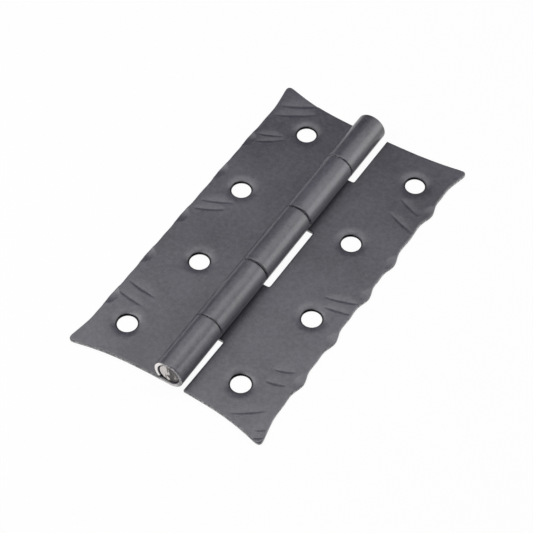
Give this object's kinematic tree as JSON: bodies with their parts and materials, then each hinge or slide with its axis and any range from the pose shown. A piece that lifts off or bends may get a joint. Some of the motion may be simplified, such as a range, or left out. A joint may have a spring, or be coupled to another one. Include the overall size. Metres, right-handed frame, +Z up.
{
  "type": "butt hinge",
  "caption": "Flat steel butt hinge with rolled knuckles round a plain pin, wavy hammered edges, pointed corners and dished screw holes, coated satin black.",
  "frame": {"origin": "under the middle of the barrel, on the plane of the leaf backs", "axes": "+Y along the barrel, +Z up out of the leaf fronts, +X across the leaf with two knuckles"},
  "size_m": [0.0589, 0.1062, 0.0085],
  "materials": {
    "leaf_coat": "satin black coat with a faint grain",
    "pin_coat": "thin black coat over a rough sheared end"
  },
  "bodies": {
    "pinned_leaf": {"three_knuckle_leaf": "leaf_coat", "hinge_pin": "pin_coat"},
    "swinging_leaf": {"two_knuckle_leaf": "leaf_coat"}
  },
  "joints": [
    {"name": "leaf_swing", "type": "hinge", "parent": "pinned_leaf", "child": "swinging_leaf", "pos_m": [0, 0, 0.00425], "axis": [0, -1, 0], "range_deg": [-90, 180]}
  ]
}
